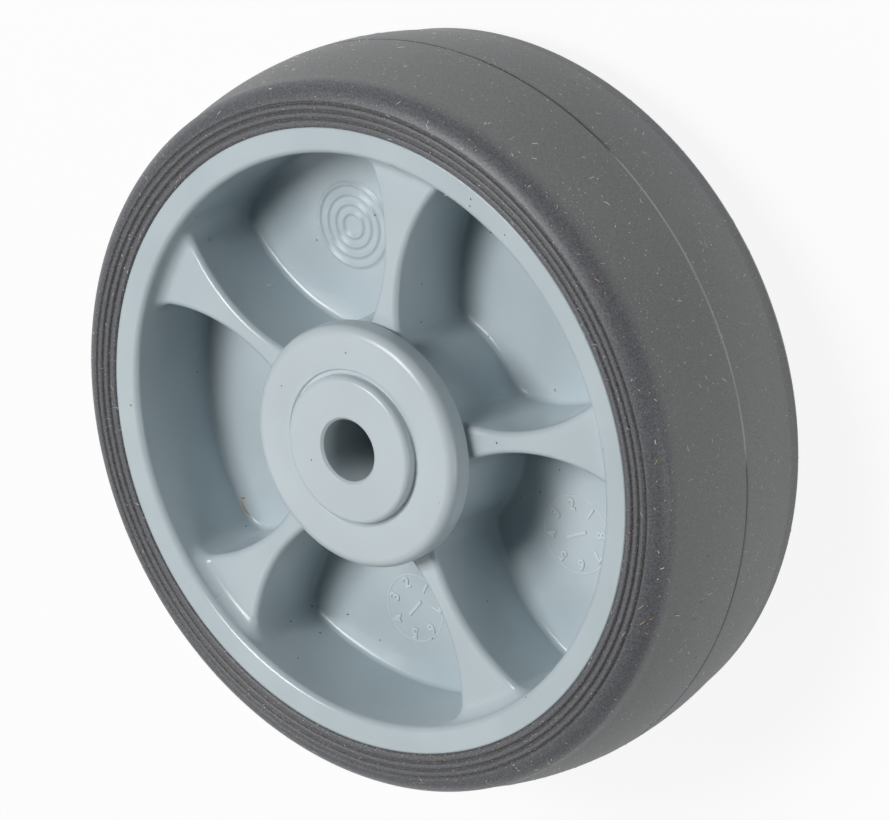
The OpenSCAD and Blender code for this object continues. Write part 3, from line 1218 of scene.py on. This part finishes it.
@dataclass
class LooseDust:
    """A few fibres or grains of one colour on the plastic, each at a place of its own."""

    name: str
    kind: Dust
    body: str
    spots: tuple[tuple[float, ...], ...]
    half_width: float = 0.08

    def build(self) -> bpy.types.Object:
        """Makes them as one mesh of spindles, each turned in its surface from the direction nearest to Y.

        A spot is (x, y, z, x, y and z of the direction out of the surface, length, turn in degrees).

        Returns:
            The crumbs.
        """
        spots = np.array(self.spots)
        out = spots[:, 3:6] / np.linalg.norm(spots[:, 3:6], axis=1)[:, None]
        along = np.cross(out, np.cross([[0, 1, 0]], out))
        along /= np.linalg.norm(along, axis=1)[:, None]
        lie = np.radians(spots[:, 7])[:, None]
        axis = np.cos(lie) * along + np.sin(lie) * np.cross(out, along)
        middle = spots[:, :3] + 0.5 * self.half_width * out
        points, faces = spindles(middle, axis, out, spots[:, 6], 0.15 * spots[:, 6], self.half_width)
        return make_piece(self.name, points, faces, 80)


@dataclass
class Studio:
    """Pale floor, soft lamps and the camera, which looks down on the lying wheel and is rolled with it."""

    floor_z: float
    distance_mm: float = 1308.02
    azimuth_deg: float = 19.544
    elevation_deg: float = 47.358
    roll_deg: float = -113.966
    aim_mm: tuple[float, float, float] = (0.488, -0.107, -0.390)
    focal_px: float = 10000.0
    picture_px: float = 890.0
    lamp_distance: float = 0.9
    floor_gap: float = 0.02
    floor_glow: float = 0.9

    def axes(self) -> tuple[Vector, Vector, Vector]:
        """The camera's axes in the wheel's frame.

        Returns:
            Its right, up and backward directions.
        """
        a, e, t = (math.radians(v) for v in (self.azimuth_deg, self.elevation_deg, self.roll_deg))
        back = Vector((math.cos(e) * math.cos(a), math.cos(e) * math.sin(a), math.sin(e)))
        level = Vector((-math.sin(a), math.cos(a), 0))
        lift = back.cross(level)
        return (level * math.cos(t) + lift * math.sin(t), lift * math.cos(t) - level * math.sin(t), back)

    def camera(self) -> bpy.types.Object:
        """Makes the camera at the photograph's viewing angle.

        Returns:
            The camera.
        """
        right, up, back = self.axes()
        data = bpy.data.cameras.new("camera")
        data.sensor_width = 36.0
        data.lens = self.focal_px * data.sensor_width / self.picture_px
        data.clip_start, data.clip_end = 0.05, 20.0
        camera = bpy.data.objects.new("camera", data)
        turn = Matrix((right, up, back)).transposed()
        place = (Vector(self.aim_mm) + back * self.distance_mm) * MM
        camera.matrix_world = Matrix.Translation(place) @ turn.to_4x4()
        bpy.context.scene.collection.objects.link(camera)
        bpy.context.scene.camera = camera
        return camera

    def softbox(self, name: str, azimuth_deg: float, elevation_deg: float, size: float, watts: float) -> None:
        """Hangs a square lamp above the floor that faces the wheel.

        Args:
            name: name of the lamp.
            azimuth_deg: where it stands round the axle, from the wheel's +X.
            elevation_deg: its angle above the wheel's middle plane.
            size: side of the lamp in metres.
            watts: its power.
        """
        a, e = math.radians(azimuth_deg), math.radians(elevation_deg)
        way = Vector((math.cos(e) * math.cos(a), math.cos(e) * math.sin(a), math.sin(e)))
        lamp = bpy.data.lights.new(name, "AREA")
        lamp.shape = "SQUARE"
        lamp.size = size
        lamp.energy = watts
        light = bpy.data.objects.new(name, lamp)
        turn = way.to_track_quat("Z", "Y").to_matrix().to_4x4()
        light.matrix_world = Matrix.Translation(way * self.lamp_distance) @ turn
        bpy.context.scene.collection.objects.link(light)

    def floor(self) -> bpy.types.Object:
        """Lays the floor disc, pale, and nearly white where the camera or a reflection sees it.

        Returns:
            The floor.
        """
        turn = np.linspace(0, 2 * math.pi, 96, endpoint=False)
        rings = [0.001, 120.0, 400.0, 1200.0, 3000.0]
        height = self.floor_z - self.floor_gap + 0 * turn
        points = np.stack([np.stack([r * np.cos(turn), r * np.sin(turn), height], -1) for r in rings])
        mesh = bpy.data.meshes.new("floor")
        faces = grid_faces(len(rings), 96)[:, ::-1]
        mesh.from_pydata((points.reshape(-1, 3) * MM).tolist(), [], faces.tolist())
        floor = bpy.data.objects.new("floor", mesh)
        bpy.context.scene.collection.objects.link(floor)
        s = Shading("pale_floor")
        s.set(Base_Color=(0.86, 0.86, 0.86, 1), Roughness=0.9)
        glow = s.tree.nodes.new("ShaderNodeEmission")
        path = s.tree.nodes.new("ShaderNodeLightPath")
        seen = s.tree.nodes.new("ShaderNodeMath")
        seen.operation = "MAXIMUM"
        s.link(path.outputs["Is Camera Ray"], seen.inputs[0])
        s.link(path.outputs["Is Glossy Ray"], seen.inputs[1])
        mix = s.tree.nodes.new("ShaderNodeMixShader")
        s.link(s.span(seen.outputs[0], 0.0, 1.0, 0.0, self.floor_glow), mix.inputs["Fac"])
        s.link(s.shader.outputs[0], mix.inputs[1])
        s.link(glow.outputs[0], mix.inputs[2])
        s.link(mix.outputs[0], s.tree.nodes["Material Output"].inputs["Surface"])
        mesh.materials.append(s.material)
        return floor

    def world(self, strength: float) -> None:
        """Fills the room with even white light, seen as plain white.

        Args:
            strength: strength of the light on the object.
        """
        world = bpy.data.worlds.new("room")
        bpy.context.scene.world = world
        world.use_nodes = True
        tree = world.node_tree
        ground = tree.nodes["Background"]
        path = tree.nodes.new("ShaderNodeLightPath")
        level = tree.nodes.new("ShaderNodeMapRange")
        level.inputs["To Min"].default_value = strength
        level.inputs["To Max"].default_value = 1.0
        tree.links.new(path.outputs["Is Camera Ray"], level.inputs["Value"])
        tree.links.new(level.outputs["Result"], ground.inputs["Strength"])
        ground.inputs["Color"].default_value = (1, 1, 1, 1)

    def build(self) -> None:
        """Makes camera, lamps, floor and world."""
        self.camera()
        self.softbox("key", 116.0, 66.0, 0.34, 6.6)
        self.softbox("mirrored_box", 200.0, 48.0, 0.6, 1.3)
        self.softbox("tread_light", -24.0, 8.0, 0.5, 2.5)
        self.softbox("low_light", -120.0, 26.0, 0.5, 0.55)
        self.floor()
        self.world(0.02)
        bpy.context.scene.view_settings.view_transform = "Standard"


@dataclass
class Wheel:
    """The whole wheel: the new pieces, and the bearings that keep their own solids."""

    nodes: dict[str, bpy.types.Object]

    def sizes_mm(self, node: str) -> tuple[float, float]:
        """Outer radius and half width of a node, from its box."""
        _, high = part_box(node)
        return high.x / MM, high.z / MM

    def dress(self, piece: bpy.types.Object, material: bpy.types.Material, body: str) -> None:
        """Gives a piece its material, slot and body, and logs it.

        Args:
            piece: the piece.
            material: its material.
            body: the body it moves with.
        """
        piece.data.materials.clear()
        piece.data.materials.append(material)
        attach(piece, body)
        LOG.info("%s: %d faces on %s", piece.name, len(piece.data.polygons), body)

    def build(self) -> None:
        """Makes the pieces from the middle of the photograph's view outwards."""
        rubber = RubberFinish().build()
        plastic = PlasticFinish("centre_plastic", (0.51, 0.585, 0.62), (0.455, 0.53, 0.565)).build()
        cap_plastic = PlasticFinish("cap_plastic", (0.555, 0.63, 0.66), (0.52, 0.59, 0.625), 0.28).build()
        wheel_r, half_w = self.sizes_mm("tread")
        rim_r, rim_z = self.sizes_mm("wheel_centre")
        tread = Tread(wheel_r - Tread.seam_h, half_w, rim_r)
        piece = tread.build()
        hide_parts("tread")
        self.dress(piece, rubber, "wheel")
        centre = WheelCentre(rim_r, rim_z)
        piece = centre.build()
        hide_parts("wheel_centre")
        self.dress(piece, plastic, "wheel")
        for face in Face:
            node = f"{face.name.lower()}_hub_cap"
            low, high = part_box(node)
            cap = HubCap(face, high.x / MM, max(abs(low.z), abs(high.z)) / MM).build()
            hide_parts(node)
            self.dress(cap, cap_plastic, "hub")
        self.dress(RingInsert((-8.48, 25.32), centre.floor_z).build(), plastic, "wheel")
        dials = [NumberDial("month_dial", (20.83, -15.91), centre.floor_z, 5.3, 12.0, 8),
                 NumberDial("count_dial", (-8.71, -27.0), centre.floor_z, 4.6, 40.0, 7)]
        # A paler copy of the moulding's plastic for the dials: painted light on their raised marks.
        raised = PlasticFinish("raised_plastic_painted_light", (0.60, 0.675, 0.71), (0.56, 0.635, 0.67)).build()
        for dial in dials:
            self.dress(dial.build(), raised, "wheel")
        self.dust(tread)
        self.bearings()

    def dust(self, tread: Tread) -> None:
        """Scatters fibres and grains over the tread, and lays the few crumbs of the plastic in place.

        Args:
            tread: the tread they lie on.
        """
        dust = {kind: DustFinish(kind).build() for kind in Dust}
        fibres, grains = (0.3, 1.3), (0.08, 0.25)
        scatters = [Scatter("pale_fibres", Dust.PALE, 620, 11, tread, fibres, 0.045),
                    Scatter("straw_fibres", Dust.STRAW, 300, 12, tread, fibres, 0.055),
                    Scatter("rust_fibres", Dust.RUST, 110, 13, tread, (0.3, 0.9), 0.06),
                    Scatter("pale_grains", Dust.PALE, 2600, 14, tread, grains, 0.05),
                    Scatter("straw_grains", Dust.STRAW, 700, 15, tread, grains, 0.055),
                    Scatter("dark_grains", Dust.DARK, 300, 16, tread, grains, 0.04)]
        for scatter in scatters:
            self.dress(scatter.build(), dust[scatter.kind], "wheel")
        crumbs = [
            LooseDust("straw_crumbs", Dust.STRAW, "wheel", (
                (-35.38, -14.07, 1.44, 0.49, 0.19, 0.85, 2.2, 25),
                (21.09, 3.59, 1.31, 0.0, 0.0, 1.0, 0.35, 10),
                (-39.78, 4.12, 15.5, 0.0, 0.0, 1.0, 0.4, 40),
                (-15.19, 23.18, 1.3, 0.0, 0.0, 1.0, 0.3, 0),
                (20.04, 33.39, 15.16, -0.39, -0.66, 0.64, 0.3, 20),
                (9.37, -23.42, 7.77, 0.92, 0.39, 0.03, 0.3, 70),
                (-35.68, -12.59, 1.33, 0.23, 0.08, 0.97, 0.9, 80)), 0.13),
            LooseDust("pale_crumbs", Dust.PALE, "wheel", (
                (-36.25, -12.65, 2.13, 0.94, 0.33, 0.03, 0.5, 60),
                (-35.43, -14.89, 4.32, 0.9, 0.43, 0.03, 0.3, 120),
                (-21.23, 18.02, 5.14, 0.73, 0.68, 0.03, 1.2, 60),
                (-20.5, 20.93, 1.3, 0.0, 0.0, 1.0, 0.35, 30),
                (19.25, 2.61, 1.33, 0.03, 0.23, 0.97, 0.3, 30),
                (-28.64, 30.93, 15.5, 0.0, 0.0, 1.0, 0.22, 0),
                (14.88, 3.82, 5.0, 0.8, 0.6, 0.03, 0.25, 10),
                (-20.2, -27.74, 1.3, 0.0, 0.0, 1.0, 0.22, 40),
                (-12.78, -33.68, 1.3, 0.0, 0.0, 1.0, 0.3, 0),
                (-10.6, -37.01, 5.9, 0.27, 0.96, 0.03, 0.25, 50),
                (-33.02, -15.7, 1.31, -0.0, 0.0, 1.0, 0.3, 20)), 0.07),
            LooseDust("rust_crumbs", Dust.RUST, "wheel", (
                (21.5, 32.66, 15.31, -0.33, -0.48, 0.81, 0.4, 20),
                (24.02, 32.07, 15.5, 0.0, 0.0, 1.0, 0.3, 60),
                (-26.21, 25.33, 9.74, 0.92, 0.39, 0.03, 0.45, 10)), 0.09),
            LooseDust("dark_crumbs", Dust.DARK, "wheel", (
                (-4.34, 26.76, 1.5, 0.52, 0.17, 0.84, 0.25, 10),
                (-38.07, 5.3, 3.54, 0.99, -0.13, 0.03, 0.24, 50),
                (26.63, 28.62, 15.31, -0.43, -0.47, 0.77, 0.25, 0),
                (24.37, 33.0, 15.5, 0.0, 0.0, 1.0, 0.3, 30),
                (20.72, 0.09, 13.92, 0.06, 0.0, 1.0, 0.3, 20),
                (7.4, 14.72, 9.43, 0.99, 0.13, 0.03, 0.24, 0),
                (19.76, -7.23, 1.3, 0.0, 0.0, 1.0, 0.22, 0),
                (-15.83, -31.73, 1.3, 0.0, 0.0, 1.0, 0.22, 20),
                (-26.16, -27.21, 1.97, 0.96, 0.28, 0.07, 0.3, 0),
                (-23.73, -30.25, 4.0, 0.61, 0.79, 0.03, 0.3, 40),
                (-20.67, -28.31, 1.3, 0.0, 0.0, 1.0, 0.35, 90)), 0.08),
            LooseDust("cap_stain", Dust.STRAW, "hub", (
                (12.54, 10.61, 16.84, 0.76, 0.64, 0.1, 0.3, 20),
                (12.89, 10.19, 16.76, 0.78, 0.62, 0.1, 0.25, 70),
                (-7.86, 6.93, 17.86, 0.21, -0.18, 0.96, 0.18, 0)), 0.06)]
        for crumb in crumbs:
            self.dress(crumb.build(), dust[crumb.kind], crumb.body)

    def bearings(self) -> None:
        """Gives the bearing parts and the spacer their steel."""
        finishes = {
            "spacer_tube": SteelFinish("spacer_steel", (0.62, 0.62, 0.63), 0.32),
            "ring": SteelFinish("ring_steel", (0.66, 0.66, 0.67), 0.22),
            "shield": SteelFinish("shield_steel", (0.58, 0.58, 0.59), 0.34),
            "cage": SteelFinish("cage_steel", (0.5, 0.5, 0.51), 0.38),
            "ball": SteelFinish("ball_steel", (0.75, 0.75, 0.76), 0.08)}
        made = {key: finish.build() for key, finish in finishes.items()}
        for name, node in self.nodes.items():
            key = next((k for k in made if f"_{k}" in f"_{name}"), None)
            if key:
                node.data.materials.clear()
                node.data.materials.append(made[key])
                LOG.info("%s: %s", name, key)


def main() -> None:
    """Builds the wheel and its studio."""
    logging.basicConfig(level=logging.INFO, format="%(message)s")
    for thing in list(bpy.data.objects):
        bpy.data.objects.remove(thing)
    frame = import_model()
    Studio(floor_z=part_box("rear_hub_cap")[0].z / MM).build()
    Wheel(frame["nodes"]).build()


if __name__ == "__main__":
    main()
